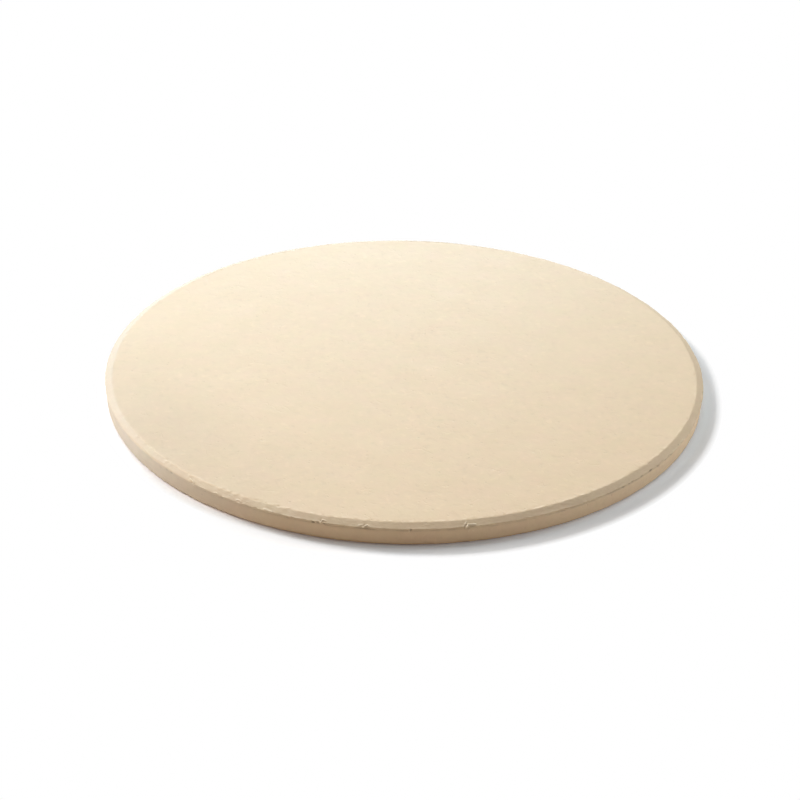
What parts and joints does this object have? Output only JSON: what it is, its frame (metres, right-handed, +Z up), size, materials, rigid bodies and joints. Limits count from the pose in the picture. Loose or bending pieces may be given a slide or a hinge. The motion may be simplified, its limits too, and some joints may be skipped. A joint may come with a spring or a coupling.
{
  "type": "pizza stone",
  "caption": "Plain round ceramic baking slab with a flat baking face, a bevelled upper rim, a fine press burr, an upright wall and a flat underside.",
  "frame": {"origin": "middle of the flat underside, on the surface that the stone lies on", "axes": "+Z up through the baking face, along the disc's axis; the disc is round, so +X and +Y are free, and the picture is taken from -Y"},
  "size_m": [0.3799, 0.38, 0.013],
  "materials": {
    "cordierite": "matte"
  },
  "bodies": {
    "root": {"pizza_stone": "cordierite"}
  },
  "joints": []
}
